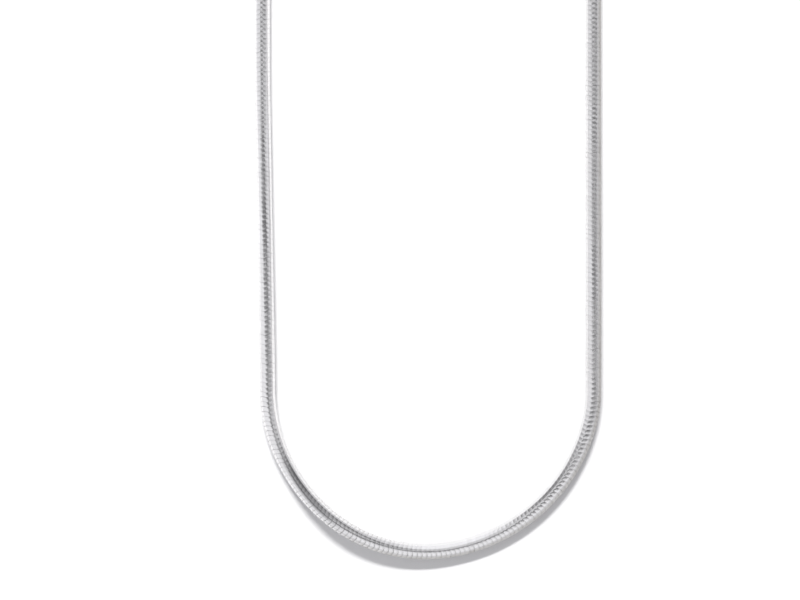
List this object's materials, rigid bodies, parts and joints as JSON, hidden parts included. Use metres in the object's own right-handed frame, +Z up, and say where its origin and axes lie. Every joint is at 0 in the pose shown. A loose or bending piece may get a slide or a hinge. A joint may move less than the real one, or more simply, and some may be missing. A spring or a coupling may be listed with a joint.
{
  "type": "snake chain necklace",
  "caption": "Round snake chain necklace of close nested wavy bands, lying as one closed oval loop with a plain barrel clasp at its back.",
  "frame": {"origin": "on the surface that the necklace lies on, under the middle of its outline", "axes": "+X across the loop to the right, +Y along the loop from its front bend to the clasp, +Z up"},
  "size_m": [0.0672, 0.1888, 0.0046],
  "materials": {
    "chain_silver": "bright polished silver bands with darker gaps between them",
    "clasp_silver": "bright polished silver with fine handling marks"
  },
  "bodies": {
    "root": {"chain": "chain_silver", "clasp": "clasp_silver"}
  },
  "joints": []
}
